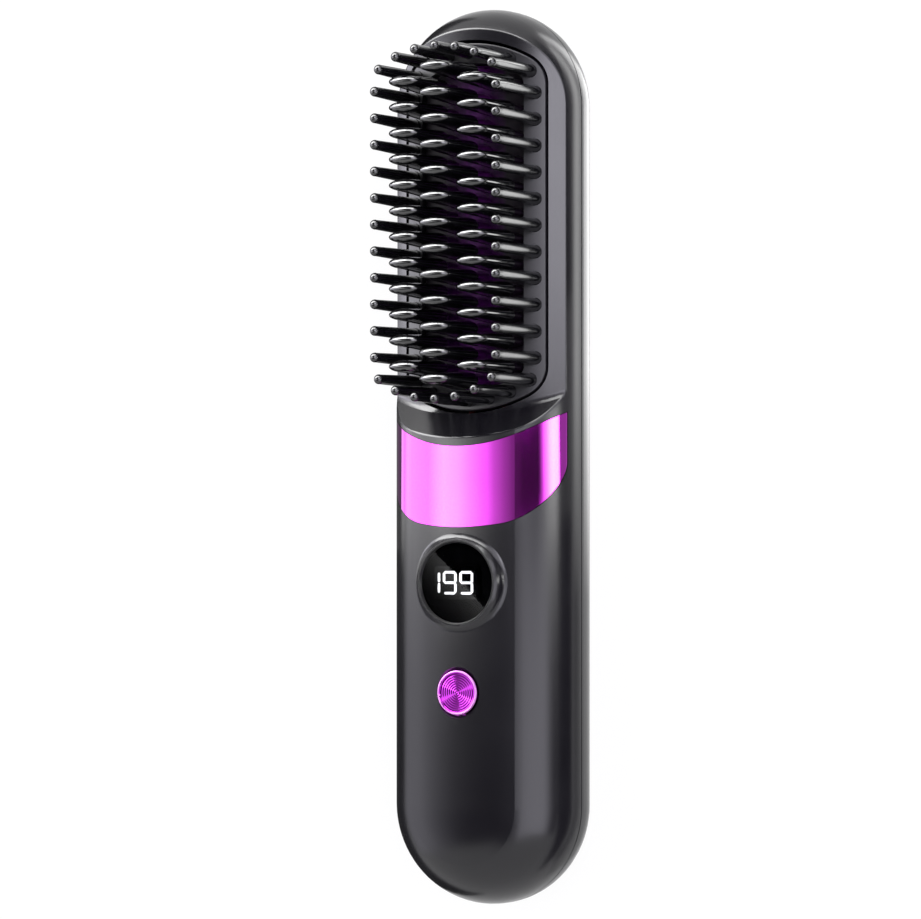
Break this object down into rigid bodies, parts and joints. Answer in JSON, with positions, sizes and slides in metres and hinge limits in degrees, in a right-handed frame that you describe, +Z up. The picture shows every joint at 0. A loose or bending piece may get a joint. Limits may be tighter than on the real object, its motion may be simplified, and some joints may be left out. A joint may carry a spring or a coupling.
{
  "type": "hair straightening brush",
  "caption": "Cordless heated hair brush: pill-shaped dark body, sunken head of oval heated teeth inside guard bristles, magenta band, round number display and power button.",
  "frame": {"origin": "middle of the body's length and width, on the floor it lies on, bristles up", "axes": "+X along the body towards the brush head, +Z up out of the bristles, Y across the body"},
  "size_m": [0.19, 0.0426, 0.0398],
  "materials": {
    "casing_grey": "satin moulded dark grey",
    "magenta_plate": "polished metallic magenta",
    "magenta_spun": "spun and anodised magenta",
    "black_gloss": "glossy black",
    "pad_grey": "satin dark grey",
    "purple_coat": "dark purple coating",
    "lens_glass": "smoked, polished",
    "module_black": "matt black",
    "lit_white": "lit white",
    "switch_white": "natural plastic",
    "spring_steel": "bare spring steel",
    "board_green": "solder mask green",
    "screw_steel": "bright plated steel",
    "cell_wrap": "wrapped cell, weighs about as aluminium",
    "nickel": "nickel strip",
    "foam_grey": "closed foam",
    "heater_ceramic": "ceramic heater in foil",
    "film_amber": "amber insulating film",
    "clamp_alloy": "bare sheet",
    "tray_black": "heat resistant moulding",
    "sensor_glass": "glass bead",
    "fuse_can": "drawn can",
    "lead_red": "silicone sleeve"
  },
  "bodies": {
    "brush": {"front_casing": "casing_grey", "rear_cover": "casing_grey", "trim_band": "magenta_plate", "guard_bristles": "black_gloss", "tooth_caps": "black_gloss", "display_bezel": "black_gloss", "bristle_frame": "pad_grey", "heating_plate": "purple_coat", "heating_fins": "purple_coat", "display_lens": "lens_glass", "display_module": "module_black", "switch_housing": "module_black", "controller_chip": "module_black", "heater_transistors": "module_black", "charge_coil": "module_black", "socket_tongue": "module_black", "display_digits": "lit_white", "switch_dome": "spring_steel", "socket_shell": "spring_steel", "control_board": "board_green", "charging_board": "board_green", "case_screws": "screw_steel", "board_screws": "screw_steel", "tray_screws": "screw_steel", "battery_cells": "cell_wrap", "cell_tabs": "nickel", "battery_foam": "foam_grey", "heater_strips": "heater_ceramic", "heater_film": "film_amber", "heater_clamp": "clamp_alloy", "heater_tray": "tray_black", "thermistor": "sensor_glass", "thermal_fuse": "fuse_can", "heater_leads": "lead_red", "battery_leads": "lead_red", "charging_leads": "lead_red"},
    "button": {"power_button": "magenta_spun"},
    "stem": {"switch_stem": "switch_white"}
  },
  "joints": [
    {"name": "button_press", "type": "slide", "parent": "brush", "child": "button", "axis": [0, 0, -1], "range_m": [0, 0.0005], "stiffness_N_per_m": 3000},
    {"name": "stem_press", "type": "slide", "parent": "brush", "child": "stem", "axis": [0, 0, -1], "range_m": [0, 0.0005], "deforming": ["switch_dome"]}
  ],
  "couplings": [
    {"joint": "stem_press", "follows": "button_press", "ratio": 1}
  ]
}
